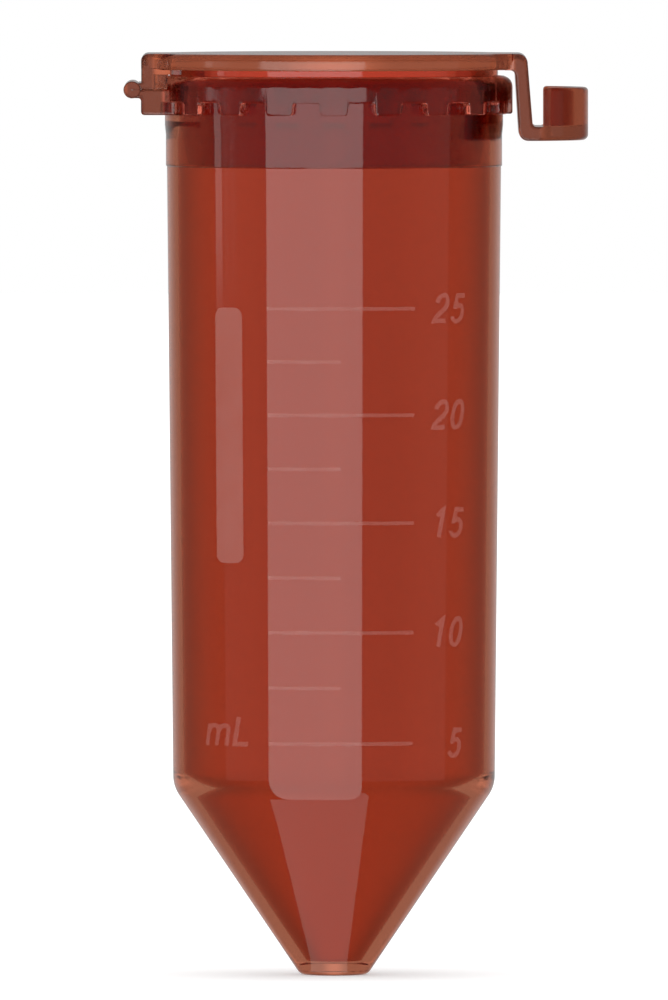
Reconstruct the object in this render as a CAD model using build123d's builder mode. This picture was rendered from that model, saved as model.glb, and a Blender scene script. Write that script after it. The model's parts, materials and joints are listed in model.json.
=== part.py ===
"""Snap-cap conical tube, 25 mL, in amber polypropylene.

Two mouldings: the tube, and a cap whose collar snaps round the mouth, with a lid on a folded film hinge.
The marks on the barrel are thin raised pads.  Millimetres, +Z up.  The origin is the centre of the flat
tip, the hinge is towards -X, the thumb tab towards +X and the graduations face -Y.
"""

from build123d import *
from math import cos, pi, radians, sin, sqrt, tan
import os

os.makedirs("parts", exist_ok=True)

# ---- tube: outside ------------------------------------------------------------------------------
tube_height = 76.9
tip_radius = 2.87  # where the cone line meets the tip plane, before rounding
tip_round = 0.8
cone_slope = 0.6763  # radius gained per mm of height
knee_height = 16.16
knee_round = 3.0
barrel_draft = 0.0100  # radius gained per mm of height
knee_radius = tip_radius + cone_slope * knee_height
barrel_top = 67.8  # the draft ends here and the neck begins
neck_bottom = 69.3
neck_radius = 14.40
neck_top = 72.0
mouth_radius = 14.49  # outside, under the collar
mouth_bottom = 72.9
bead_radius = 14.74  # snap bead that holds the collar
bead_bottom = 75.2
bead_top = 76.2
bead_slope = 0.3
rim_radius = 14.25

# ---- tube: inside -------------------------------------------------------------------------------
floor_height = 1.37
cone_wall = 1.2  # measured square to the cone
barrel_wall = 0.93
land_radius = 13.30  # the sealing land that the plug closes on
land_bottom = 73.2
undercut_top = 71.7  # the wall widens below the land, down to here
undercut_round = 0.6
inner_knee_round = 2.0
floor_round = 0.6
land_round = 0.3
lip_chamfer = 0.4
rim_round = 0.3

# ---- collar -------------------------------------------------------------------------------------
collar_radius = 15.3
collar_top = 77.05
ring_bottom = 75.0
tooth_bottom = 73.8
tooth_count = 20
tooth_width = 2.4
collar_gap = 0.03  # between the collar and the tube that it is snapped on
shoulder_round = 0.9
collar_mouth = 14.32
pitch = 2 * pi * collar_radius / tooth_count

# ---- hinge --------------------------------------------------------------------------------------
hinge_x = -17.27
hinge_z = 75.91
hinge_width = 12.0
film_outer = 0.73
film_hole = 0.15
film_slit = 0.08  # between the folded halves
leaf_bottom = 75.2
leaf_gap = 0.06  # between the rolled film and the lid's leaf
block_end = -16.5  # outer face of both hinge blocks
collar_block_bottom = 73.75
lid_block_bottom = 76.5
block_depth = 3.2  # how far each block reaches in, over the collar
block_clearance = 0.15  # between the lid's block and the collar

# ---- lid, plug and thumb tab --------------------------------------------------------------------
lid_top = 79.0
lid_bottom = 77.6
lid_radius = 15.5
lid_edge_round = 0.6
flange_radius = 14.05
flange_bottom = 77.0
plug_clearance = 0.08
plug_bottom = 69.35
plug_wall = 1.0
plug_tip_round = 0.35
tab_width = 12.4
arm_foot_x = 15.85  # inner face of the arm at the foot
arm_outer_top = 16.5
arm_outer_foot = 17.0
arm_corner_round = 0.8
foot_bottom = 71.55
foot_top = 72.75
foot_corner_round = 0.8
slot_round = 0.35
tab_end = 21.77
lip_radius = 7.0
lip_wall = 1.2
lip_start = 17.95
lip_top = 76.1
lip_edge_round = 0.35
foot_edge_round = 0.5

# ---- marks --------------------------------------------------------------------------------------
mark_height = 0.08  # how far a mark stands proud of the barrel
mark_reach = 2.5  # how far a character is extruded before it is cut from the skin
mark_step = 5000.0  # cubic millimetres from one numbered line to the next
mark_count = 5
line_width = 0.3
line_start = -23.5  # degrees round from the front, + towards +X
long_line_end = 28.9
short_line_end = 2.4
numeral_angle = 44.1
numeral_height = 2.5
stroke = 0.40
digit_width = 0.64  # of the numeral height, like the spacings below
digit_spacing = 0.80
unit_letters = (("m", -0.67), ("L", 0.62))  # each with its shift along the line of writing
slant = 12.0  # degrees that the characters lean
unit_angle = -40.6
unit_rise = 1.0  # centre of the unit mark above the lowest line
panel_angle = -39.4
panel_width = 2.9
panel_bottom = 35.6
panel_top = 57.4
panel_corner = 0.8


def barrel_radius(z):
    """Outer radius of the drafted barrel at height z."""
    return knee_radius + barrel_draft * (z - knee_height)


# The inner cone and the inner barrel are the outer lines moved in by the wall, and meet at the inner knee.
cone_shift = cone_wall * sqrt(1 + cone_slope**2)
inner_cone_start = tip_radius - cone_shift
inner_barrel_start = knee_radius - barrel_draft * knee_height - barrel_wall
inner_knee_height = (inner_barrel_start - inner_cone_start) / (cone_slope - barrel_draft)
inner_knee_radius = inner_cone_start + cone_slope * inner_knee_height
floor_radius = inner_cone_start + cone_slope * floor_height
undercut_radius = inner_barrel_start + barrel_draft * undercut_top


def frustum(height, low, high):
    return pi * height * (low**2 + low * high + high**2) / 3


cone_volume = frustum(inner_knee_height - floor_height, floor_radius, inner_knee_radius)


def fill_height(volume):
    """Height of the liquid surface in the drafted barrel for a volume in cubic millimetres."""
    above = volume - cone_volume
    radius = (inner_knee_radius**3 + 3 * barrel_draft * above / pi) ** (1 / 3)
    return inner_knee_height + (radius - inner_knee_radius) / barrel_draft


def nearest(section, across, height):
    """The corner of a section drawn on Plane.XZ that is nearest to this place."""
    return section.vertices().sort_by_distance((across, height))[0]


# ---- tube body ----------------------------------------------------------------------------------
with BuildPart() as tube_body:
    with BuildSketch(Plane.XZ) as tube_section:
        with BuildLine():
            Polyline(
                (0, 0),
                (tip_radius, 0),
                (knee_radius, knee_height),
                (barrel_radius(barrel_top), barrel_top),
                (neck_radius, neck_bottom),
                (neck_radius, neck_top),
                (mouth_radius, mouth_bottom),
                (mouth_radius, bead_bottom),
                (bead_radius, bead_bottom + bead_slope),
                (bead_radius, bead_top - bead_slope),
                (rim_radius, bead_top),
                (rim_radius, tube_height),
                (land_radius, tube_height),
                (land_radius, land_bottom),
                (undercut_radius, undercut_top),
                (inner_knee_radius, inner_knee_height),
                (floor_radius, floor_height),
                (0, floor_height),
                close=True,
            )
        make_face()
        rounds = {
            (tip_radius, 0): tip_round,
            (knee_radius, knee_height): knee_round,
            (inner_knee_radius, inner_knee_height): inner_knee_round,
            (floor_radius, floor_height): floor_round,
            (undercut_radius, undercut_top): undercut_round,
            (land_radius, land_bottom): land_round,
            (rim_radius, tube_height): rim_round,
        }
        for (radius, height), size in rounds.items():
            fillet(nearest(tube_section, radius, height), size)
        chamfer(nearest(tube_section, land_radius, tube_height), lip_chamfer)
    revolve(axis=Axis.Z)
tube_body.part.label = "tube_body"
export_step(tube_body.part, "parts/tube_body.step")

# ---- cap collar ---------------------------------------------------------------------------------
# A ring with a castellated lower edge.  Its bore follows the mouth and the snap bead, a hair away.
collar_bore = mouth_radius + collar_gap
with BuildPart() as cap_collar:
    with BuildSketch(Plane.XZ) as ring_section:
        with BuildLine():
            Polyline(
                (collar_bore, tooth_bottom),
                (collar_radius, tooth_bottom),
                (collar_radius, collar_top),
                (collar_mouth, collar_top),
                (collar_mouth, bead_top + collar_gap),
                (bead_radius + collar_gap, bead_top - bead_slope + collar_gap),
                (bead_radius + collar_gap, bead_bottom + bead_slope - collar_gap),
                (collar_bore, bead_bottom - collar_gap),
                close=True,
            )
        make_face()
        fillet(nearest(ring_section, collar_radius, collar_top), shoulder_round)
    revolve(axis=Axis.Z)
    with Locations((0, 0, tooth_bottom)):
        with PolarLocations(collar_radius, tooth_count, start_angle=180 / tooth_count):
            Box(
                4,
                pitch - tooth_width,
                ring_bottom - tooth_bottom,
                align=(Align.CENTER, Align.CENTER, Align.MIN),
                mode=Mode.SUBTRACT,
            )
    with BuildSketch(Plane.XY.offset(collar_block_bottom)):
        with Locations((block_end, 0)):
            Rectangle(block_depth, hinge_width, align=(Align.MIN, Align.CENTER))
        Circle(collar_bore, mode=Mode.SUBTRACT)
    extrude(amount=leaf_bottom - collar_block_bottom)
cap_collar.part.label = "cap_collar"
export_step(cap_collar.part, "parts/cap_collar.step")

# ---- film hinge ---------------------------------------------------------------------------------
# The film is folded into a small roll with a slit towards the tube.  One leaf joins it to the collar,
# the other joins the lid and ends just short of the roll, so that it can turn round it.
with BuildPart() as hinge_film:
    with BuildSketch(Plane.XZ):
        with Locations((hinge_x, hinge_z)):
            Circle(film_outer)
            Circle(film_hole, mode=Mode.SUBTRACT)
            Rectangle(film_outer + 1, film_slit, align=(Align.MIN, Align.CENTER), mode=Mode.SUBTRACT)
    extrude(amount=hinge_width / 2, both=True)
hinge_film.part.label = "hinge_film"
export_step(hinge_film.part, "parts/hinge_film.step")

with BuildPart() as hinge_lower_leaf:
    with BuildSketch(Plane.XY.offset(leaf_bottom)):
        with Locations((hinge_x, 0)):
            Rectangle(block_depth, hinge_width, align=(Align.MIN, Align.CENTER))
        Circle(collar_radius, mode=Mode.SUBTRACT)
    extrude(amount=hinge_z - film_slit / 2 - leaf_bottom)
    with BuildSketch(Plane.XZ):
        with Locations((hinge_x, hinge_z)):
            Circle(film_outer)
    extrude(amount=hinge_width, both=True, mode=Mode.SUBTRACT)
hinge_lower_leaf.part.label = "hinge_lower_leaf"
export_step(hinge_lower_leaf.part, "parts/hinge_lower_leaf.step")

with BuildPart() as hinge_upper_leaf:
    with BuildSketch(Plane.XY.offset(hinge_z + film_slit / 2)):
        with Locations((hinge_x, 0)):
            Rectangle(block_depth, hinge_width, align=(Align.MIN, Align.CENTER))
        Circle(collar_radius + block_clearance, mode=Mode.SUBTRACT)
    extrude(amount=lid_block_bottom - hinge_z - film_slit / 2)
    with BuildSketch(Plane.XZ):
        with Locations((hinge_x, hinge_z)):
            Circle(film_outer + leaf_gap)
    extrude(amount=hinge_width, both=True, mode=Mode.SUBTRACT)
hinge_upper_leaf.part.label = "hinge_upper_leaf"
export_step(hinge_upper_leaf.part, "parts/hinge_upper_leaf.step")

# ---- lid ----------------------------------------------------------------------------------------
with BuildPart() as lid:
    with BuildSketch(Plane.XY.offset(lid_bottom)):
        Circle(lid_radius)
        with Locations((block_end, 0)):
            Rectangle(-block_end, hinge_width, align=(Align.MIN, Align.CENTER))
        Rectangle(lid_radius, tab_width, align=(Align.MIN, Align.CENTER))
    extrude(amount=lid_top - lid_bottom)
    rim = lid.edges().group_by(Axis.Z)[-1].sort_by(Axis.X)[:-1]  # all but the edge that the arm joins
    fillet(rim, lid_edge_round)
    with BuildSketch(Plane.XY.offset(lid_block_bottom)):
        with Locations((block_end, 0)):
            Rectangle(block_depth, hinge_width, align=(Align.MIN, Align.CENTER))
        Circle(collar_radius + block_clearance, mode=Mode.SUBTRACT)
    extrude(amount=lid_bottom - lid_block_bottom)
lid.part.label = "lid"
export_step(lid.part, "parts/lid.step")

# ---- sealing plug -------------------------------------------------------------------------------
# A hollow skirt under the lid.  Its side is an arc about the hinge, which is the path of its far edge, so
# the skirt leaves the land without rubbing when the lid swings up.
plug_radius = land_radius - plug_clearance
swing = plug_radius - hinge_x


def plug_side(z):
    """Outer radius of the skirt at height z."""
    return sqrt(swing**2 - (hinge_z - z) ** 2) + hinge_x


with BuildPart() as sealing_plug:
    with BuildSketch(Plane.XZ) as plug_section:
        with BuildLine():
            middle = (plug_bottom + hinge_z) / 2
            outside = ThreePointArc(
                (plug_radius, hinge_z),
                (plug_side(middle), middle),
                (plug_side(plug_bottom), plug_bottom),
            )
            Polyline(
                outside @ 1,
                (plug_side(plug_bottom) - plug_wall, plug_bottom),
                (plug_radius - plug_wall, hinge_z),
                (plug_radius - plug_wall, lid_bottom),
                (flange_radius, lid_bottom),
                (flange_radius, flange_bottom),
                (plug_radius, flange_bottom),
                outside @ 0,
            )
        make_face()
        tips = plug_section.vertices().group_by(Axis.Y)[0]
        fillet(tips, plug_tip_round)
    revolve(axis=Axis.Z)
sealing_plug.part.label = "sealing_plug"
export_step(sealing_plug.part, "parts/sealing_plug.step")

# ---- thumb tab ----------------------------------------------------------------------------------
# An arm runs down from the lid's rim to a foot, and the foot ends in a curved upright lip.
lip_centre = tab_end - lip_radius
with BuildPart() as thumb_tab:
    with BuildSketch(Plane.XZ) as tab_section:
        with BuildLine():
            Polyline(
                (lid_radius, lid_top),
                (arm_outer_top, lid_top),
                (arm_outer_foot, foot_top),
                (tab_end + 1, foot_top),
                (tab_end + 1, foot_bottom),
                (arm_foot_x, foot_bottom),
                (lid_radius, collar_top),
                close=True,
            )
        make_face()
        fillet(nearest(tab_section, arm_outer_top, lid_top), arm_corner_round)
        fillet(nearest(tab_section, arm_outer_foot, foot_top), slot_round)
        fillet(nearest(tab_section, arm_foot_x, foot_bottom), foot_corner_round)
    extrude(amount=tab_width / 2, both=True)
    with BuildSketch(Plane.XY.offset(foot_bottom)):
        with Locations((lip_centre, 0)):
            Circle(lip_radius)
        with Locations((lid_radius, 0)):
            Rectangle(lip_start - lid_radius, tab_width, align=(Align.MIN, Align.CENTER))
    extrude(amount=lid_top - foot_bottom, mode=Mode.INTERSECT)
    with BuildSketch(Plane.XY.offset(foot_top)):
        with Locations((lip_centre, 0)):
            Circle(lip_radius)
            Circle(lip_radius - lip_wall, mode=Mode.SUBTRACT)
        with Locations((lip_start, 0)):
            Rectangle(2 * lip_radius, 2 * lip_radius, align=(Align.MAX, Align.CENTER), mode=Mode.SUBTRACT)
    extrude(amount=lip_top - foot_top)
    fillet(thumb_tab.edges().filter_by_position(Axis.Z, lip_top, lip_top), lip_edge_round)
    foot_rim = thumb_tab.edges().filter_by_position(Axis.Z, foot_bottom, foot_bottom).sort_by(Axis.X)[-1]
    fillet(foot_rim, foot_edge_round)
thumb_tab.part.label = "thumb_tab"
export_step(thumb_tab.part, "parts/thumb_tab.step")

# ---- graduation lines ---------------------------------------------------------------------------


def upright(angle):
    """The plane through the axis of the tube at this angle round from the front."""
    turn = radians(angle - 90)
    return Plane(origin=(0, 0, 0), x_dir=(cos(turn), sin(turn), 0), z_dir=(sin(turn), -cos(turn), 0))


def tangent(angle, height):
    """A plane facing out of the barrel at this angle and height, inside the wall."""
    turn = radians(angle)
    out = Vector(sin(turn), -cos(turn), 0)
    return Plane(origin=out * land_radius + Vector(0, 0, height), x_dir=(cos(turn), sin(turn), 0), z_dir=out)


def band(low, high):
    """Corners of the section of a mark between two heights, lying on the barrel."""
    return [
        (barrel_radius(low), low),
        (barrel_radius(low) + mark_height, low),
        (barrel_radius(high) + mark_height, high),
        (barrel_radius(high), high),
    ]


numbered = [fill_height(mark_step * (i + 1)) for i in range(mark_count)]
halves = [fill_height(mark_step * (i + 1.5)) for i in range(mark_count - 1)]
print("numbered lines at", [round(z, 2) for z in numbered])

with BuildPart() as graduation_lines_long:
    for z in numbered:
        with BuildSketch(upright(line_start)):
            with BuildLine():
                Polyline(*band(z - line_width / 2, z + line_width / 2), close=True)
            make_face()
        revolve(axis=Axis.Z, revolution_arc=long_line_end - line_start)
graduation_lines_long.part.label = "graduation_lines_long"
export_step(graduation_lines_long.part, "parts/graduation_lines_long.step")

with BuildPart() as graduation_lines_short:
    for z in halves:
        with BuildSketch(upright(line_start)):
            with BuildLine():
                Polyline(*band(z - line_width / 2, z + line_width / 2), close=True)
            make_face()
        revolve(axis=Axis.Z, revolution_arc=short_line_end - line_start)
graduation_lines_short.part.label = "graduation_lines_short"
export_step(graduation_lines_short.part, "parts/graduation_lines_short.step")

# ---- numerals and unit --------------------------------------------------------------------------
# Each character is drawn in a box one unit high, as strokes made of straight lines and cubic curves.
characters = {
    "0": [
        [
            [(0.32, 0.94), (0.15, 0.94), (0.08, 0.74), (0.08, 0.50)],
            [(0.08, 0.50), (0.08, 0.26), (0.15, 0.06), (0.32, 0.06)],
        ],
        [
            [(0.32, 0.06), (0.49, 0.06), (0.56, 0.26), (0.56, 0.50)],
            [(0.56, 0.50), (0.56, 0.74), (0.49, 0.94), (0.32, 0.94)],
        ],
    ],
    "1": [[[(0.14, 0.74), (0.38, 0.92)], [(0.38, 0.92), (0.38, 0.00)]]],
    "2": [
        [
            [(0.09, 0.68), (0.12, 1.03), (0.56, 1.03), (0.56, 0.68)],
            [(0.56, 0.68), (0.56, 0.42), (0.14, 0.32), (0.09, 0.07)],
            [(0.09, 0.07), (0.58, 0.07)],
        ]
    ],
    "5": [
        [
            [(0.56, 0.93), (0.20, 0.93)],
            [(0.20, 0.93), (0.14, 0.46)],
        ],
        [
            [(0.14, 0.52), (0.25, 0.66), (0.56, 0.64), (0.56, 0.34)],
            [(0.56, 0.34), (0.56, -0.01), (0.16, -0.03), (0.08, 0.22)],
        ],
    ],
    "m": [
        [[(0.07, 0.75), (0.07, 0.00)]],
        [
            [(0.09, 0.50), (0.12, 0.64), (0.22, 0.69), (0.32, 0.69)],
            [(0.32, 0.69), (0.46, 0.69), (0.54, 0.62), (0.54, 0.46)],
        ],
        [[(0.54, 0.47), (0.54, 0.00)]],
        [
            [(0.56, 0.50), (0.59, 0.64), (0.69, 0.69), (0.79, 0.69)],
            [(0.79, 0.69), (0.93, 0.69), (1.01, 0.62), (1.01, 0.46)],
        ],
        [[(1.01, 0.47), (1.01, 0.00)]],
    ],
    "L": [[[(0.07, 1.00), (0.07, 0.07)], [(0.07, 0.07), (0.62, 0.07)]]],
}
lean = tan(radians(slant))


def place(point, shift):
    """A point of a character, leaned, scaled and moved along the line of writing by shift."""
    across = point[0] + lean * (point[1] - 0.5) - digit_width / 2 + shift
    return (numeral_height * across, numeral_height * (point[1] - 0.5))


# The skin is the layer that all marks are cut from: it lies on the barrel and is as thick as a mark.
with BuildPart() as mark_skin:
    with BuildSketch(Plane.XZ):
        with BuildLine():
            Polyline(*band(knee_height + knee_round / 2, barrel_top), close=True)
        make_face()
    revolve(axis=Axis.Z)

with BuildPart() as graduation_numerals:
    for i, z in enumerate(numbered):
        text = str(5 * (i + 1))
        with BuildSketch(tangent(numeral_angle, z)):
            for j, character in enumerate(text):
                shift = digit_spacing * (j - len(text) + 1.5)
                for stroke_curves in characters[character]:
                    with BuildLine():
                        for curve in stroke_curves:
                            Bezier(*[place(point, shift) for point in curve])
                    trace(line_width=stroke)
        extrude(amount=mark_reach)
    add(mark_skin.part, mode=Mode.INTERSECT)
graduation_numerals.part.label = "graduation_numerals"
export_step(graduation_numerals.part, "parts/graduation_numerals.step")

with BuildPart() as unit_mark:
    with BuildSketch(tangent(unit_angle, numbered[0] + unit_rise)):
        for character, shift in unit_letters:
            for stroke_curves in characters[character]:
                with BuildLine():
                    for curve in stroke_curves:
                        Bezier(*[place(point, shift) for point in curve])
                trace(line_width=stroke)
    extrude(amount=mark_reach)
    add(mark_skin.part, mode=Mode.INTERSECT)
unit_mark.part.label = "unit_mark"
export_step(unit_mark.part, "parts/unit_mark.step")

with BuildPart() as write_on_panel:
    with BuildSketch(tangent(panel_angle, (panel_bottom + panel_top) / 2)):
        RectangleRounded(panel_width, panel_top - panel_bottom, panel_corner)
    extrude(amount=mark_reach)
    add(mark_skin.part, mode=Mode.INTERSECT)
write_on_panel.part.label = "write_on_panel"
export_step(write_on_panel.part, "parts/write_on_panel.step")
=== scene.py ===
"""Looks of the amber snap-cap conical tube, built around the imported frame.

Every moulding is drawn in millimetres and scaled to the frame's metres when its mesh is made.
The hinge is towards -X, the thumb tab towards +X and the graduations face -Y.
"""

import json
from math import asin, atan2, cos, degrees, pi, radians, sin, sqrt, tan

import bmesh
import bpy
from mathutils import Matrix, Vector


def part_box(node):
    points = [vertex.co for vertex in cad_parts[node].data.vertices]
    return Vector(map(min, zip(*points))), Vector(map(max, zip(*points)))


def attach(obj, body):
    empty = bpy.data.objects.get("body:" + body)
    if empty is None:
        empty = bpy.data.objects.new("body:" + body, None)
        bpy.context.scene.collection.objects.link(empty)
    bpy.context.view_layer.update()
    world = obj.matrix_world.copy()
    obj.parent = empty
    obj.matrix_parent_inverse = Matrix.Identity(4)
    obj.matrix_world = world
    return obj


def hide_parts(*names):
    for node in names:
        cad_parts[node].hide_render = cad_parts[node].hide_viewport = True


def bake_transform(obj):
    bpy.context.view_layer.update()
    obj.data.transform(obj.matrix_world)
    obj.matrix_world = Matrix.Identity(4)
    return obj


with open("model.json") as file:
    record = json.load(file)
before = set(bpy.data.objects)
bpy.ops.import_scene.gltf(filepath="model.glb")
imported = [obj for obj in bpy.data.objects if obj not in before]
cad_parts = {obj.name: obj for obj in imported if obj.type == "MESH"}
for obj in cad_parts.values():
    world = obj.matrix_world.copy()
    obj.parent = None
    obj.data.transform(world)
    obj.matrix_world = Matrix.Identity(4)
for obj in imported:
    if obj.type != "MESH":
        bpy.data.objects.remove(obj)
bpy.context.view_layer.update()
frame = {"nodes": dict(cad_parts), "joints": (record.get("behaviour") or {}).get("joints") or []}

scene = bpy.context.scene
mm = 0.001


def reach(node):
    """Lowest and highest corner of a CAD node, in millimetres."""
    low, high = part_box(node)
    return low / mm, high / mm


# ---- driving dimensions, in millimetres ---------------------------------------------------------
_, tube_high = reach("tube_body")
collar_low, collar_high = reach("cap_collar")
lid_low, lid_high = reach("lid")
plug_low, _ = reach("sealing_plug")
tab_low, tab_high = reach("thumb_tab")
film_low, film_high = reach("hinge_film")
lower_leaf_low, _ = reach("hinge_lower_leaf")
_, upper_leaf_high = reach("hinge_upper_leaf")
hinge = Vector(frame["joints"][0]["pos_m"]) / mm

mark_gap = 0.02  # the shell lies this far under the marks
tip_radius = 2.87
tip_round = 0.8
cone_slope = 0.6763
knee_height = 16.16
knee_round = 3.0
barrel_draft = 0.0100
barrel_wall = 0.93
cone_wall = 1.2
step_height = 69.3  # the parting line, where the neck begins
step_rise = 0.08
neck_radius = 14.40
neck_top = 72.0
mouth_radius = 14.49
mouth_bottom = 72.9
rim_round = 0.3
land_radius = 13.30
land_bottom = 73.2
land_round = 1.2
undercut_top = 71.7
undercut_round = 2.0
inner_knee_round = 2.0
floor_height = 1.37
floor_round = 0.6
lip_chamfer = 0.4
lip_outer_round = 0.1
lip_inner_round = 0.2

collar_gap = 0.03
ring_bottom = 74.85
shoulder_round = 0.9
tooth_count = 20
tooth_half = 1.2
tooth_flare = 0.05  # how much wider half a tooth is at its root
tooth_lift = 0.05  # the teeth end this far above the collar's CAD box
tip_flat = (0.3, 0.6)  # extra points that keep the flat of a tooth flat
root_flat = (1.8, 2.1)  # and the flat of a gap
tooth_round = 0.3
root_round = 0.25
bore_edge_round = 0.12
bore_top_round = 0.1
tooth_edge_round = 0.2

lid_bottom = 77.6
lid_top_round = 0.6
lid_bottom_round = 0.2
lobe_corner = 0.8
lobe_corner_least = 0.05
lobe_setback = 0.5  # the lobe at the tab ends this far behind the arm's outside
lobe_fillet = 1.8
flange_radius = 14.05
flange_bottom = 77.0
flange_round = 0.1
flange_overlap = 1.0  # how deep the upper block reaches in over the flange
plug_clearance = 0.08
plug_wall = 1.0
plug_tip_round = 0.35
plug_gap = 0.01  # between the plug's top and the lid

film_hole = 0.06  # radius of what is left open in the roll
film_slit = 0.02  # the halves of the fold lie on each other
film_edge_round = 0.12
film_overlap = 0.01  # the lower leaf ends this far past the roll
leaf_gap = 0.06
block_clearance = 0.15
block_round = 0.3
block_overlap = 0.4  # how deep the lower block reaches into the ring
gusset_round = 0.25

arm_inner_top = 15.47
arm_inner_foot = 15.85
arm_outer_top = 16.5
arm_outer_foot = 17.0
arm_corner_round = 0.8
arch_round = 0.45
foot_top = 72.75
foot_corner_round = 0.8
slot_round = 0.35
foot_edge_round = 0.5
lip_radius = 7.0
lip_wall = 1.2
lip_start = 17.95
lip_top = 76.1
lip_edge_round = 0.35
lip_half = 5.9
lip_step = 0.02  # the lip ends within this distance of lip_half
lip_round_share = 0.45  # largest edge round, as a share of the lip's thickness
lip_root_share = 0.4  # the round between lip and foot, as a share of that
strap_edge_round = 0.25
strap_spacing = 0.35  # between the sections across the strap
strap_root = 1.9  # how far the arm reaches into the lid
lip_least = 0.3  # thinnest the lip gets where its curve runs out
foot_rise = 0.06  # step from the foot to the ends of the lip

skin = 0.004  # keeps flush faces of two joined solids apart
weld_distance = 1e-8  # metres
sharp_angle = radians(32)  # edges sharper than this stay sharp
film_radius = (film_high.z - film_low.z) / 2
hinge_half = film_high.y
tab_half = tab_high.y
lid_radius = lid_high.y
collar_radius = collar_high.y
block_end = lid_low.x


# ---- drawing ------------------------------------------------------------------------------------
def arc(across, up, radius, start, end, steps):
    """Points on an arc, angles in degrees."""
    turns = [radians(start + (end - start) * i / steps) for i in range(steps + 1)]
    return [(across + radius * cos(t), up + radius * sin(t)) for t in turns]


def rounded(corners, steps=6, closed=True):
    """A line through (across, up, round) corners, each turned into an arc of that radius."""
    points = []
    count = len(corners)
    for i, (across, up, radius) in enumerate(corners):
        here = Vector((across, up))
        if radius == 0 or (not closed and i in (0, count - 1)):
            points.append((across, up))
            continue
        before = (Vector(corners[i - 1][:2]) - here).normalized()
        after = (Vector(corners[(i + 1) % count][:2]) - here).normalized()
        half = before.angle(after) / 2
        centre = here + (before + after).normalized() * radius / sin(half)
        first = here + before * radius / tan(half) - centre
        last = here + after * radius / tan(half) - centre
        sweep = first.angle_signed(last)
        for k in range(steps + 1):
            turn = -sweep * k / steps
            spoke_x = cos(turn) * first.x - sin(turn) * first.y
            spoke_y = sin(turn) * first.x + cos(turn) * first.y
            spoke = Vector((spoke_x, spoke_y))
            points.append(tuple(centre + spoke))
    return points


def make(name, points, faces):
    """A mesh object from points in millimetres."""
    mesh = bpy.data.meshes.new(name)
    mesh.from_pydata([Vector(p) * mm for p in points], [], faces)
    piece = bpy.data.objects.new(name, mesh)
    scene.collection.objects.link(piece)
    return piece


def loft(name, rings, ends="cap"):
    """Joins closed rings of equal length. The two ends are capped, or join each other."""
    size = len(rings[0])
    count = len(rings)
    points = [p for ring in rings for p in ring]
    faces = []
    for i in range(count if ends == "join" else count - 1):
        low, high = i * size, (i + 1) % count * size
        for k in range(size):
            after = (k + 1) % size
            faces.append((low + k, low + after, high + after, high + k))
    if ends == "cap":
        faces.append(tuple(reversed(range(size))))
        faces.append(tuple(range((count - 1) * size, count * size)))
    piece = make(name, points, faces)
    finish_mesh(piece)
    return piece


def revolve(name, section, segments=360):
    """Turns a closed section of (radius, height) points about Z."""
    rings = []
    for i in range(segments):
        turn = 2 * pi * i / segments
        rings.append([(r * cos(turn), r * sin(turn), z) for r, z in section])
    return loft(name, rings, ends="join")


def finish_mesh(piece):
    """Welds points that coincide, drops loose edges and turns all faces outwards."""
    work = bmesh.new()
    work.from_mesh(piece.data)
    bmesh.ops.remove_doubles(work, verts=work.verts, dist=weld_distance)
    bmesh.ops.dissolve_degenerate(work, edges=work.edges, dist=weld_distance)
    loose = [edge for edge in work.edges if not edge.link_faces]
    bmesh.ops.delete(work, geom=loose, context="EDGES")
    bmesh.ops.recalc_face_normals(work, faces=work.faces)
    if work.calc_volume(signed=True) < 0:
        bmesh.ops.reverse_faces(work, faces=work.faces)
    work.to_mesh(piece.data)
    work.free()


def smooth(piece):
    """Shades the rounds smoothly and keeps the flats flat."""
    piece.data.shade_smooth()
    piece.data.set_sharp_from_angle(angle=sharp_angle)
    weighted = piece.modifiers.new("flats", "WEIGHTED_NORMAL")
    weighted.keep_sharp = True


def union(base, *others):
    """Fuses solids into one moulding."""
    for other in others:
        fuse = base.modifiers.new("fuse", "BOOLEAN")
        fuse.operation = "UNION"
        fuse.solver = "EXACT"
        fuse.object = other
    bpy.context.view_layer.update()
    fused = base.evaluated_get(bpy.context.evaluated_depsgraph_get())
    whole = bpy.data.meshes.new_from_object(fused)
    base.modifiers.clear()
    base.data = whole
    for other in others:
        bpy.data.objects.remove(other)
    finish_mesh(base)
    return base


# ---- tube ---------------------------------------------------------------------------------------
def tube_section():
    """The tube's wall, from the axis along the outside, over the rim and back down inside."""
    knee_radius = tip_radius + cone_slope * knee_height
    cone_shift = cone_wall * sqrt(1 + cone_slope**2)
    inner_cone = tip_radius - cone_shift
    inner_barrel = knee_radius - barrel_draft * knee_height - barrel_wall
    inner_knee = (inner_barrel - inner_cone) / (cone_slope - barrel_draft)
    step_radius = knee_radius + barrel_draft * (step_height - knee_height) - mark_gap
    tube_height = tube_high.z
    corners = [
        (0, 0, 0),
        (tip_radius, 0, tip_round),
        (knee_radius - mark_gap, knee_height, knee_round),
        (step_radius, step_height, 0),
        (neck_radius, step_height + step_rise, 0),
        (neck_radius, neck_top, 0),
        (mouth_radius, mouth_bottom, 0),
        (mouth_radius, tube_height, rim_round),
        (land_radius + lip_chamfer, tube_height, lip_outer_round),
        (land_radius, tube_height - lip_chamfer, lip_inner_round),
        (land_radius, land_bottom, land_round),
        (inner_barrel + barrel_draft * undercut_top, undercut_top, undercut_round),
        (inner_cone + cone_slope * inner_knee, inner_knee, inner_knee_round),
        (inner_cone + cone_slope * floor_height, floor_height, floor_round),
        (0, floor_height, 0),
    ]
    return rounded(corners, steps=8, closed=False)


tube_shell = revolve("tube_shell", tube_section())


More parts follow.
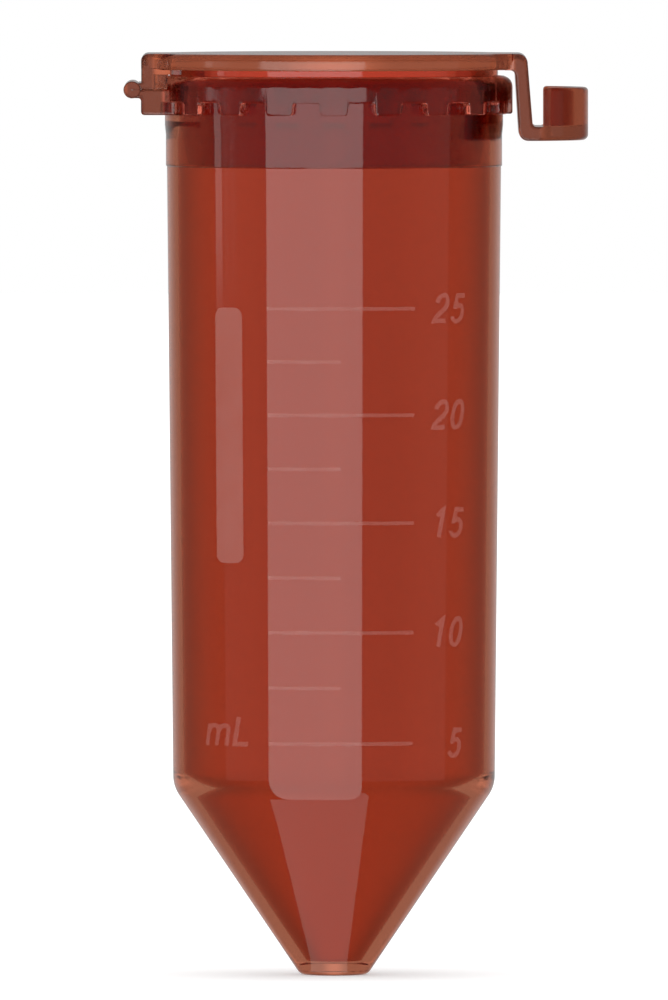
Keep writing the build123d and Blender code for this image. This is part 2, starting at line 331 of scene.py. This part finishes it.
# ---- collar -------------------------------------------------------------------------------------
def tooth_edge():
    """(distance along the ring, height) of the lower edge over one tooth and half of each gap."""
    pitch = 2 * pi * collar_radius / tooth_count
    tooth_bottom = collar_low.z + tooth_lift
    flat_tip = [(along, tooth_bottom) for along in tip_flat]
    tip = arc(tooth_half - tooth_round, tooth_bottom + tooth_round, tooth_round, -90, 0, 5)
    root = arc(tooth_half + tooth_flare + root_round, ring_bottom - root_round, root_round, 180, 90, 4)
    flat_root = [(along, ring_bottom) for along in root_flat]
    right = flat_tip + tip + root + flat_root
    left = [(-along, height) for along, height in reversed(right)]
    return left + [(0, tooth_bottom)] + right, pitch


def collar_section(bottom):
    """The ring's section, down to its lower edge."""
    bore = mouth_radius + collar_gap
    corners = [
        (bore, bottom, bore_edge_round),
        (collar_radius, bottom, tooth_edge_round),
        (collar_radius, collar_high.z, shoulder_round),
        (bore, collar_high.z, bore_top_round),
    ]
    return rounded(corners, steps=5)


def collar_ring():
    """The ring, with its lower edge cut into teeth all the way round."""
    edge, pitch = tooth_edge()
    rings = []
    for tooth in range(tooth_count):
        for along, height in edge:
            turn = (tooth + along / pitch) * 2 * pi / tooth_count
            rings.append([(r * cos(turn), r * sin(turn), z) for r, z in collar_section(height)])
    return loft("collar_moulding", rings, ends="join")


def stations(half, edge_round, steps=5, inner=()):
    """(y, inset) pairs across a strap: the inset grows towards both ends to round their edges."""
    ends = []
    for i in range(steps + 1):
        turn = radians(90 * i / steps)
        ends.append((half - edge_round + edge_round * sin(turn), edge_round * (1 - cos(turn))))
    right = [(y, 0) for y in inner if 0 < y < half - edge_round] + ends
    return [(-y, inset) for y, inset in reversed(right)] + [(0, 0)] + right


def lower_hinge():
    """The block under the film and the leaf that carries it, as one solid that reaches into the ring."""
    rings = []
    leaf_end = film_radius + film_overlap
    for y, inset in stations(hinge_half, block_round, inner=(1, 2, 3, 4, 5)):
        root = -sqrt((collar_radius - block_overlap) ** 2 - y**2)
        bottom = collar_low.z + inset
        left = block_end + inset
        leaf_bottom = lower_leaf_low.z + inset
        leaf_top = hinge.z - film_slit / 2 - inset / 2
        start = degrees(asin((leaf_bottom - hinge.z) / leaf_end))
        end = degrees(asin((leaf_top - hinge.z) / leaf_end))
        end_arc = arc(hinge.x, hinge.z, leaf_end, start, end, 10)
        corners = [
            (root, bottom, 0),
            (left, bottom, block_round),
            (left, leaf_bottom, gusset_round),
            (*end_arc[0], 0),
        ]
        block = rounded(corners, closed=False)
        section = block + end_arc[1:] + [(root, leaf_top)]
        rings.append([(x, y, z) for x, z in section])
    return loft("lower_hinge", rings)


collar_moulding = union(collar_ring(), lower_hinge())


# ---- lid ----------------------------------------------------------------------------------------
def lid_outline(inset):
    """Plan of the lid, moved in by inset: a disc with a lobe at the hinge and one at the thumb tab."""
    radius = lid_radius - inset
    half_plan = []
    for side, half, end in ((1, tab_half, arm_outer_top - lobe_setback), (-1, hinge_half, -block_end)):
        fillet_x = sqrt((lid_radius + lobe_fillet) ** 2 - (half + lobe_fillet) ** 2)
        corner = max(lobe_corner - inset, lobe_corner_least)
        turn = degrees(atan2(half + lobe_fillet, fillet_x))
        lobe = [(end - inset, 0)]
        lobe += arc(end - inset - corner, half - inset - corner, corner, 0, 90, 6)
        lobe += arc(fillet_x, half + lobe_fillet, lobe_fillet + inset, 270, 180 + turn, 6)
        lobe += arc(0, 0, radius, turn, 90, 90)[1:]
        half_plan.append([(side * x, y) for x, y in lobe])
    front = half_plan[0] + half_plan[1][-2::-1]
    back = [(x, -y) for x, y in reversed(front[1:-1])]
    return front + back


def lid_plate():
    """The lid's outline, moved in at both edges to round them."""
    bottom_steps = 4
    steps = 8
    levels = []
    for i in range(bottom_steps + 1):
        turn = radians(90 * i / bottom_steps)
        levels.append((lid_bottom_round * (1 - sin(turn)), lid_bottom + lid_bottom_round * (1 - cos(turn))))
    for i in range(steps + 1):
        turn = radians(90 * i / steps)
        levels.append((lid_top_round * (1 - cos(turn)), lid_high.z - lid_top_round * (1 - sin(turn))))
    return loft("lid_moulding", [[(x, y, z) for x, y in lid_outline(inset)] for inset, z in levels])


def upper_hinge():
    """The block under the lid and the leaf that turns round the film, reaching up into the plate."""
    rings = []
    leaf_end = film_radius + leaf_gap
    root_top = lid_bottom + 2 * lid_bottom_round
    for y, inset in stations(hinge_half - 5 * skin, block_round, inner=(1, 2, 3, 4, 5)):
        root = -sqrt((collar_radius + block_clearance) ** 2 - y**2)
        low = hinge.z + film_slit / 2 + inset / 2
        high = upper_leaf_high.z - inset / 2
        left = block_end + 5 * skin + inset
        start = degrees(asin((low - hinge.z) / leaf_end))
        end = degrees(asin((high - hinge.z) / leaf_end))
        end_arc = arc(hinge.x, hinge.z, leaf_end, start, end, 8)
        over = collar_high.z + block_clearance
        section = [(root, low)] + end_arc + [(left, high), (left, root_top)]
        inside = flange_overlap - flange_radius
        section += [(inside, root_top), (inside, over), (root, over)]
        rings.append([(x, y, z) for x, z in section])
    return loft("upper_hinge", rings)


def drop(y, half, radius):
    """How far a rounded edge has fallen at y, near the end at half."""
    past = max(abs(y) - (half - radius), 0)
    return radius - sqrt(max(radius**2 - past**2, 0))


def thumb_strap():
    """The arm, foot and curved lip, as sections that change across the strap."""
    lip_centre = tab_high.x - lip_radius
    inner_radius = lip_radius - lip_wall
    lip_turn = sqrt(inner_radius**2 - (lip_start - lip_centre) ** 2)
    places = {i * strap_spacing for i in range(1, 17)}
    places = sorted(places | {lip_turn, lip_half - lip_step, lip_half + lip_step})
    rings = []
    for y, inset in stations(tab_half, strap_edge_round, inner=places):
        outer = lip_centre + sqrt(lip_radius**2 - y**2) - inset
        inner = min(lip_start, outer - lip_least)
        if abs(y) < lip_turn:
            inner = lip_centre + sqrt(inner_radius**2 - y**2)
        top = lip_top if abs(y) < lip_half else foot_top + foot_rise
        lip_room = min(outer - inner, top - foot_top)
        lip_round = min(lip_edge_round, lip_round_share * lip_room)
        crown = lid_high.z - skin - drop(y, tab_half, lid_top_round)
        corners = [
            (arm_outer_top - strap_root, crown, 0),
            (arm_outer_top - inset, crown, arm_corner_round),
            (arm_outer_foot - inset, foot_top - inset, slot_round),
            (inner, foot_top - inset, lip_root_share * lip_round),
            (inner, top - inset, lip_round),
            (outer, top - inset, lip_round),
            (outer, tab_low.z + inset, foot_edge_round),
            (arm_inner_foot + inset, tab_low.z + inset, foot_corner_round),
            (arm_inner_top + inset, lid_bottom - 5 * skin, arch_round),
            (arm_outer_top - strap_root, lid_bottom - 5 * skin, 0),
        ]
        rings.append([(x, y, z) for x, z in rounded(corners)])
    return loft("thumb_strap", rings)


lid_moulding = union(lid_plate(), upper_hinge(), thumb_strap())


# ---- plug ---------------------------------------------------------------------------------------
def plug_section():
    """The hollow skirt and its flange. The outside is an arc about the hinge, so it swings clear."""
    radius = land_radius - plug_clearance
    swing = radius - hinge.x
    heights = [hinge.z + (plug_low.z - hinge.z) * i / 12 for i in range(13)]
    side = [(sqrt(swing**2 - (hinge.z - z) ** 2) + hinge.x, z, 0) for z in heights[:-1]]
    tip = sqrt(swing**2 - (hinge.z - plug_low.z) ** 2) + hinge.x
    top = lid_bottom - plug_gap
    corners = side + [
        (tip, plug_low.z, plug_tip_round),
        (tip - plug_wall, plug_low.z, plug_tip_round),
        (radius - plug_wall, hinge.z, 0),
        (radius - plug_wall, top, 0),
        (flange_radius, top, 0),
        (flange_radius, flange_bottom, flange_round),
        (radius, flange_bottom, 0),
    ]
    return rounded(corners)


plug_skirt = revolve("plug_skirt", plug_section(), segments=288)


# ---- hinge film ---------------------------------------------------------------------------------
def film_roll():
    """The rolled film between the leaves: a tube, slit where the leaves meet."""
    outer = degrees(asin(film_slit / 2 / film_radius))
    inner = degrees(asin(film_slit / 2 / film_hole))
    section = arc(hinge.x, hinge.z, film_radius, outer, 360 - outer, 56)
    section += arc(hinge.x, hinge.z, film_hole, 360 - inner, inner, 24)
    rings = []
    for y, inset in stations(hinge_half, film_edge_round, inner=(2, 4)):
        shrink = 1 - inset / film_radius
        across = [hinge.x + (x - hinge.x) * shrink for x, z in section]
        up = [hinge.z + (z - hinge.z) * shrink for x, z in section]
        rings.append([(x, y, z) for x, z in zip(across, up)])
    return loft("film_hinge", rings)


film_hinge = film_roll()


# ---- materials ----------------------------------------------------------------------------------
# Noise scales are per metre, bump depths are metres.
noise_middle = (0.3, 0.7)
flow_scale = 60
flow_stretch = (1, 1, 0.18)
flow_strength = 0.03
flow_depth = 0.0002
flow_shade = (1.03, 0.97)
grain_scale = 1600
grain_strength = 0.02
grain_depth = 0.00002
plastic_ior = 1.49
frost_patch_scale = 500
frost_grain_scale = 9000
frost_roughness = (0.42, 0.62)
frost_strength = 0.35
frost_depth = 0.00003

ramp_reach = 22.0  # mm from the middle plane where the tint ramps end
tube_tint = (0.570, 0.173, 0.094)
# painted light and shade: lid, collar and seal are one amber plastic, given lighter and darker tints for
# how light passes through each part
lid_tint = (0.530, 0.130, 0.060)
collar_tint = (0.720, 0.155, 0.098)
seal_tint = (0.700, 0.195, 0.120)
# painted shade: the hinge block and the tab get darker tints of the same plastic
hinge_painted_shade_tint = (0.21, 0.058, 0.034)
tab_painted_shade_tint = (0.450, 0.105, 0.048)


def shader(name):
    """A new material with its nodes, its links and its Principled shader."""
    material = bpy.data.materials.new(name)
    material.use_nodes = True
    tree = material.node_tree
    return material, tree.nodes, tree.links, tree.nodes["Principled BSDF"]


def texture(nodes, links, scale, detail, stretch=(1, 1, 1)):
    """A noise in the object's own coordinates."""
    place = nodes.new("ShaderNodeTexCoord")
    mapping = nodes.new("ShaderNodeMapping")
    mapping.inputs["Scale"].default_value = stretch
    noise = nodes.new("ShaderNodeTexNoise")
    noise.inputs["Scale"].default_value = scale
    noise.inputs["Detail"].default_value = detail
    links.new(place.outputs["Object"], mapping.inputs["Vector"])
    links.new(mapping.outputs["Vector"], noise.inputs["Vector"])
    return noise.outputs["Fac"]


def spread(nodes, links, value, low, high):
    """Maps the middle of a noise, where most of its values lie, to low..high."""
    fit = nodes.new("ShaderNodeMapRange")
    fit.inputs["From Min"].default_value, fit.inputs["From Max"].default_value = noise_middle
    fit.inputs["To Min"].default_value = low
    fit.inputs["To Max"].default_value = high
    links.new(value, fit.inputs["Value"])
    return fit.outputs["Result"]


def tint(nodes, links, value, first, second):
    """A colour between two, by a factor."""
    blend = nodes.new("ShaderNodeMix")
    blend.data_type = "RGBA"
    blend.inputs["A"].default_value = (*first, 1)
    blend.inputs["B"].default_value = (*second, 1)
    links.new(value, blend.inputs["Factor"])
    return blend.outputs["Result"]


def bump(nodes, links, bsdf, layers):
    """Stacks (height, strength, distance in metres) layers into the shader's normal."""
    normal = None
    for height, strength, distance in layers:
        layer = nodes.new("ShaderNodeBump")
        layer.inputs["Strength"].default_value = strength
        layer.inputs["Distance"].default_value = distance
        links.new(height, layer.inputs["Height"])
        if normal:
            links.new(normal, layer.inputs["Normal"])
        normal = layer.outputs["Normal"]
    links.new(normal, bsdf.inputs["Normal"])


def amber(name, stops, polish, relief):
    """Moulded polypropylene, tinted amber, with faint flow lines and a fine grain.

    The stops are (distance from the middle plane in mm, tint): the darker tints are painted shade, where
    thick plastic looks darker.
    Polish is the range of the roughness, and relief scales both bumps.
    """
    material, nodes, links, bsdf = shader(name)
    place = nodes.new("ShaderNodeTexCoord")
    split = nodes.new("ShaderNodeSeparateXYZ")
    aside = nodes.new("ShaderNodeMath")
    aside.operation = "ABSOLUTE"
    fit = nodes.new("ShaderNodeMapRange")
    fit.inputs["From Max"].default_value = ramp_reach * mm
    tints = nodes.new("ShaderNodeValToRGB")
    points = tints.color_ramp.elements
    points.remove(points[1])
    points[0].color = (*stops[0][1], 1)
    for distance, colour in stops[1:]:
        points.new(distance / ramp_reach).color = (*colour, 1)
    links.new(place.outputs["Object"], split.inputs["Vector"])
    links.new(split.outputs["X"], aside.inputs[0])
    links.new(aside.outputs["Value"], fit.inputs["Value"])
    links.new(fit.outputs["Result"], tints.inputs["Fac"])
    flow = texture(nodes, links, flow_scale, 3, stretch=flow_stretch)
    grain = texture(nodes, links, grain_scale, 4)
    vary = nodes.new("ShaderNodeVectorMath")
    vary.operation = "SCALE"
    links.new(tints.outputs["Color"], vary.inputs["Vector"])
    links.new(spread(nodes, links, flow, *flow_shade), vary.inputs["Scale"])
    links.new(vary.outputs["Vector"], bsdf.inputs["Base Color"])
    links.new(spread(nodes, links, grain, *polish), bsdf.inputs["Roughness"])
    bsdf.inputs["Transmission Weight"].default_value = 1
    bsdf.inputs["IOR"].default_value = plastic_ior
    layers = [(flow, flow_strength * relief, flow_depth), (grain, grain_strength * relief, grain_depth)]
    bump(nodes, links, bsdf, layers)
    return material


def frosted(name, pale, dusky, alpha):
    """The raised marks: a fine matt texture that scatters light."""
    material, nodes, links, bsdf = shader(name)
    patch = texture(nodes, links, frost_patch_scale, 4)
    grain = texture(nodes, links, frost_grain_scale, 5)
    links.new(tint(nodes, links, spread(nodes, links, patch, 0, 1), pale, dusky), bsdf.inputs["Base Color"])
    links.new(spread(nodes, links, grain, *frost_roughness), bsdf.inputs["Roughness"])
    bsdf.inputs["Alpha"].default_value = alpha
    bump(nodes, links, bsdf, [(grain, frost_strength, frost_depth)])
    return material


amber_tube = amber("amber_tube_plastic", [(0, tube_tint)], (0.02, 0.05), 0.4)
# The lid and collar ramps paint shade: darker tints at the hinge and at the tab.
amber_lid = amber(
    "amber_lid_plastic",
    [(0, lid_tint), (15.2, lid_tint), (15.6, hinge_painted_shade_tint), (17.6, hinge_painted_shade_tint), (17.9, tab_painted_shade_tint)],
    (0.08, 0.13),
    0.15,
)
amber_collar = amber(
    "amber_collar_plastic",
    [(0, collar_tint), (14.3, collar_tint), (14.8, hinge_painted_shade_tint)],
    (0.07, 0.11),
    0.3,
)
# painted light: the seal is the cap's plastic in a lighter tint
amber_seal = amber("amber_seal_plastic", [(0, seal_tint)], (0.03, 0.06), 0.4)
pale_mark = frosted("pale_mark_plastic", (0.80, 0.52, 0.48), (0.72, 0.44, 0.40), 0.045)
frosted_panel = frosted("frosted_panel_plastic", (0.72, 0.46, 0.42), (0.64, 0.38, 0.34), 0.09)


def dress(piece, material):
    """Gives a piece its material."""
    piece.data.materials.clear()
    piece.data.materials.append(material)


for piece, body, material, slot, replaced in (
    (tube_shell, "tube", amber_tube, "amber_tube", ["tube_body"]),
    (collar_moulding, "tube", amber_collar, "amber_cap", ["cap_collar", "hinge_lower_leaf"]),
    (lid_moulding, "lid", amber_lid, "amber_cap", ["lid", "thumb_tab", "hinge_upper_leaf"]),
    (plug_skirt, "lid", amber_seal, "amber_cap", ["sealing_plug"]),
    (film_hinge, None, amber_lid, "amber_cap", ["hinge_film"]),
):
    smooth(piece)
    dress(piece, material)
    if body:
        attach(piece, body)
    else:
        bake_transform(piece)
    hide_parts(*replaced)

for node, material, slot in (
    ("graduation_lines_long", pale_mark, "pale_mark"),
    ("graduation_lines_short", pale_mark, "pale_mark"),
    ("graduation_numerals", pale_mark, "pale_mark"),
    ("unit_mark", pale_mark, "pale_mark"),
    ("write_on_panel", frosted_panel, "frosted_panel"),
):
    dress(frame["nodes"][node], material)


# ---- studio -------------------------------------------------------------------------------------
# World ramps, each from a start to an end of its direction, and from a low to a high strength.
tilt_weight = (1, 0, 0.35)  # how much a direction's X, Y and Z count as leaving straight ahead
ahead_ramp = (0.02, 0.24, 1.0, 0.60)
aside_ramp = (0.72, 0.98, 0, 0.42)
mirrored_ramp = (0.75, 0.985, 0.08, 0.45)
default_strength = 1.1
light_bounces = 64  # many, because rays turn inside the clear walls
floor_half = 3000  # millimetres, like the distances below
card_distance = 250
card_bottom = 0.2
glow_height = 0.15
glow_bow = 0.065  # how much farther out a row lies at 45 degrees, as a share
flag_gap = 1.2  # the flags stand this far in front of the tab and the hinge
flag_strength = 0.1


def light_path(nodes, kind):
    """1 for rays of one kind, otherwise 0."""
    return nodes.new("ShaderNodeLightPath").outputs[kind]


def choose(nodes, links, test, no, yes):
    """A number: yes where test is 1, otherwise no. Both may be sockets or plain numbers."""
    pick = nodes.new("ShaderNodeMix")
    links.new(test, pick.inputs["Factor"])
    for value, end in ((no, "A"), (yes, "B")):
        if isinstance(value, (int, float)):
            pick.inputs[end].default_value = value
        else:
            links.new(value, pick.inputs[end])
    return pick.outputs["Result"]


def ramp(nodes, links, value, start, end, low, high):
    """A smooth step from low to high while the value goes from start to end."""
    fit = nodes.new("ShaderNodeMapRange")
    fit.interpolation_type = "SMOOTHSTEP"
    fit.inputs["From Min"].default_value = start
    fit.inputs["From Max"].default_value = end
    fit.inputs["To Min"].default_value = low
    fit.inputs["To Max"].default_value = high
    links.new(value, fit.inputs["Value"])
    return fit.outputs["Result"]


def white_room():
    """White seen directly, pale grey through the plastic, and dark in reflections.

    Through the plastic it is brightest straight ahead and far to the side. Reflections brighten only
    towards +Y, where grazing rays go, so that the tint stays clean.
    """
    world = bpy.data.worlds.new("white_room")
    scene.world = world
    world.use_nodes = True
    nodes, links = world.node_tree.nodes, world.node_tree.links
    place = nodes.new("ShaderNodeTexCoord")
    split = nodes.new("ShaderNodeSeparateXYZ")
    links.new(place.outputs["Generated"], split.inputs["Vector"])
    flat = nodes.new("ShaderNodeVectorMath")
    flat.operation = "MULTIPLY"
    flat.inputs[1].default_value = tilt_weight
    links.new(place.outputs["Generated"], flat.inputs[0])
    length = nodes.new("ShaderNodeVectorMath")
    length.operation = "LENGTH"
    links.new(flat.outputs["Vector"], length.inputs[0])
    aside = length.outputs["Value"]
    backdrop = nodes.new("ShaderNodeMath")
    links.new(ramp(nodes, links, aside, *ahead_ramp), backdrop.inputs[0])
    links.new(ramp(nodes, links, aside, *aside_ramp), backdrop.inputs[1])
    mirrored = ramp(nodes, links, split.outputs["Y"], *mirrored_ramp)
    seen = choose(nodes, links, light_path(nodes, "Is Glossy Ray"), default_strength, mirrored)
    seen = choose(nodes, links, light_path(nodes, "Is Transmission Ray"), seen, backdrop.outputs["Value"])
    seen = choose(nodes, links, light_path(nodes, "Is Camera Ray"), seen, 1.0)
    world.cycles.sampling_method = "NONE"
    links.new(seen, nodes["Background"].inputs["Strength"])
    nodes["Background"].inputs["Color"].default_value = (1, 1, 1, 1)


def floor():
    """A large pale floor, left out of reflections and of what is seen through the plastic."""
    half = floor_half
    corners = [(-half, -half, 0), (half, -half, 0), (half, half, 0), (-half, half, 0)]
    piece = make("floor", corners, [(0, 1, 2, 3)])
    material, _, _, bsdf = shader("pale_floor")
    bsdf.inputs["Base Color"].default_value = (0.93, 0.93, 0.93, 1)
    bsdf.inputs["Roughness"].default_value = 1.0
    bsdf.inputs["Specular IOR Level"].default_value = 0
    bsdf.inputs["Emission Color"].default_value = (1, 1, 1, 1)
    bsdf.inputs["Emission Strength"].default_value = 0.25
    piece.data.materials.append(material)
    piece.visible_glossy = False
    piece.visible_transmission = False


def glow_card(name, points, faces, strength, fade=None):
    """A glowing card, seen only in reflections. It may fade in between two heights."""
    card = make(name, points, faces)
    material, nodes, links, _ = shader(name + "_glow")
    glow = nodes.new("ShaderNodeEmission")
    glow.inputs["Strength"].default_value = strength
    if fade:
        place = nodes.new("ShaderNodeTexCoord")
        split = nodes.new("ShaderNodeSeparateXYZ")
        links.new(place.outputs["Object"], split.inputs["Vector"])
        faded = ramp(nodes, links, split.outputs["Z"], fade[0] * mm, fade[1] * mm, 0, strength)
        links.new(faded, glow.inputs["Strength"])
    links.new(glow.outputs["Emission"], nodes["Material Output"].inputs["Surface"])
    card.data.materials.append(material)
    for kind in ("camera", "diffuse", "transmission", "shadow"):
        setattr(card, "visible_" + kind, False)


def reflector(name, azimuths, heights, strength, fade=None):
    """A curved softbox round the tube. Azimuths are degrees from the front, heights millimetres."""
    start, end = azimuths
    bottom, top = heights
    columns = 48
    points, faces = [], []
    for i in range(columns + 1):
        turn = radians(start + (end - start) * i / columns)
        for z in (bottom, (bottom + top) / 2, top):
            points.append((card_distance * sin(turn), -card_distance * cos(turn), z))
    for i in range(columns):
        for k in range(2):
            first = 3 * i + k
            faces.append((first, first + 3, first + 4, first + 1))
    glow_card(name, points, faces, strength, fade)


def floor_reflector(name, rows, strength):
    """A bright wedge on the floor in front of the tip, which the cone mirrors.

    Each row is a distance straight in front of the axis and the azimuths of its two ends, in degrees.
    The rows bow away from the tube at the sides, so that their reflections lie level.
    """
    points, faces = [], []
    columns = 24
    for distance, start, end in rows:
        for i in range(columns + 1):
            turn = radians(start + (end - start) * i / columns)
            bowed = distance * (1 + glow_bow * (turn / radians(45)) ** 2)
            points.append((bowed * sin(turn), -bowed * cos(turn), glow_height))
    for row in range(len(rows) - 1):
        for i in range(columns):
            first = row * (columns + 1) + i
            faces.append((first, first + 1, first + columns + 2, first + columns + 1))
    glow_card(name, points, faces, strength)


def flag(name, low, high):
    """A dim card close to the flat ends of the cap, which keeps the main softbox out of them."""
    y = -(tab_half + flag_gap)
    corners = [(low[0], y, low[1]), (high[0], y, low[1]), (high[0], y, high[1]), (low[0], y, high[1])]
    glow_card(name, corners, [(0, 1, 2, 3)], flag_strength)


def camera():
    """A long lens, a little above the middle of the tube, looking along +Y."""
    picture_height = 0.0857
    elevation = radians(1.5)
    aim = Vector((0, 0, 0.04069))
    lens = bpy.data.cameras.new("camera")
    eye = bpy.data.objects.new("camera", lens)
    scene.collection.objects.link(eye)
    lens.sensor_fit = "VERTICAL"
    lens.sensor_height = 36
    lens.lens = 1100
    distance = picture_height * lens.lens / lens.sensor_height
    lens.clip_end = 30
    eye.location = aim + distance * Vector((0, -cos(elevation), sin(elevation)))
    eye.rotation_euler = (aim - eye.location).to_track_quat("-Z", "Y").to_euler()
    scene.camera = eye


white_room()
floor()
reflector("main_softbox", (-46.5, 19.2), (card_bottom, 114), 2.4)
reflector("side_softbox", (-88.0, -69.0), (40, 98), 1.3, fade=(42, 60))
reflector("left_fill", (-82.0, -46.5), (card_bottom, 98), 0.27)
reflector("right_fill", (19.2, 84.6), (card_bottom, 98), 0.27)
flag("hinge_flag", (-18.4, 73.0), (-13.9, 79.3))
flag("tab_flag", (15.4, 71.0), (22.4, 79.3))

# The rows of these wedges lie where rays mirrored by the cone and its knee land on the floor.
floor_reflector(
    "far_floor_glow",
    [
        (19.3, -30.0, 9.0),
        (19.8, -33.5, 12.4),
        (20.9, -35.6, 14.2),
        (22.5, -37.0, 15.2),
        (26.0, -38.6, 16.4),
        (30.4, -39.8, 17.1),
        (40.4, -41.5, 17.7),
        (52.0, -42.7, 17.9),
        (74.0, -44.1, 18.3),
        (139.0, -45.6, 18.9),
        (270.0, -46.5, 19.2),
    ],
    2.4,
)
floor_reflector(
    "near_floor_glow",
    [
        (3.0, -43.0, 23.0),
        (4.3, -43.0, 23.0),
        (4.8, -44.1, 23.5),
        (7.0, -45.8, 24.3),
        (10.2, -45.8, 24.2),
        (13.4, -45.5, 24.0),
        (16.5, -45.1, 23.7),
        (19.3, -45.7, 23.6),
    ],
    1.05,
)
floor_reflector(
    "near_floor_corner",
    [
        (19.3, 9.0, 23.6),
        (19.8, 12.4, 23.6),
        (20.9, 14.2, 23.5),
        (22.5, 15.2, 23.2),
        (26.0, 16.4, 22.3),
        (30.4, 17.1, 19.5),
    ],
    1.05,
)
camera()

scene.view_settings.view_transform = "Standard"
scene.cycles.max_bounces = light_bounces
scene.cycles.transmission_bounces = light_bounces
scene.cycles.glossy_bounces = light_bounces
scene.cycles.transparent_max_bounces = 24
